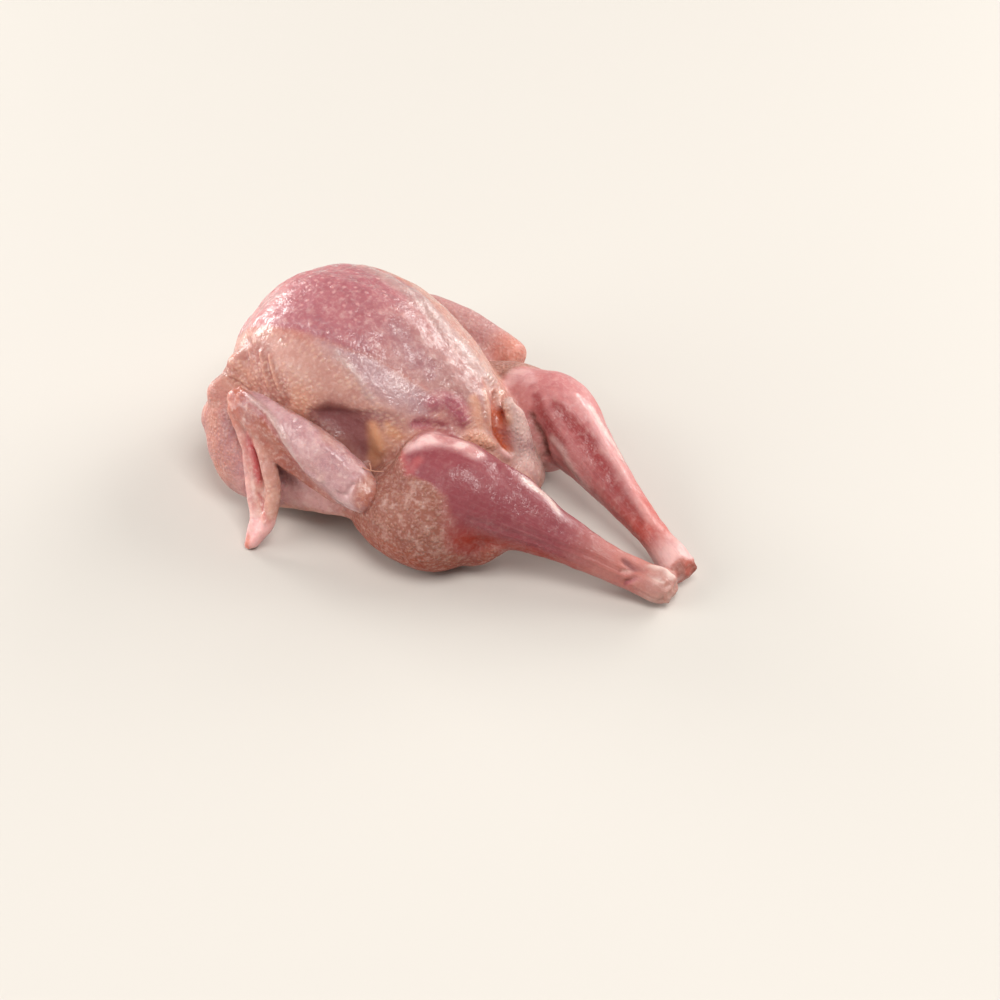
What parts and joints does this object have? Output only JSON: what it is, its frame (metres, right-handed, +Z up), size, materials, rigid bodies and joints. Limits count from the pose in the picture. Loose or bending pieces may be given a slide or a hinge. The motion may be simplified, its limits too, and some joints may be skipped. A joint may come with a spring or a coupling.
{
  "type": "dressed quail",
  "caption": "Whole raw dressed quail lying on its back, breast up, wings folded and drumsticks stretched with the hocks together.",
  "frame": {"origin": "middle of the outline seen from above, on the plane the bird lies on", "axes": "+X from the neck to the hocks, +Z up towards the breast, -Y the bird's right side (the near side in the picture)"},
  "size_m": [0.1276, 0.092, 0.0494],
  "materials": {
    "skin": "moist raw skin and muscle, mauve pink to tan, glossy with fine pores"
  },
  "bodies": {
    "root": {"quail": "skin"}
  },
  "joints": []
}
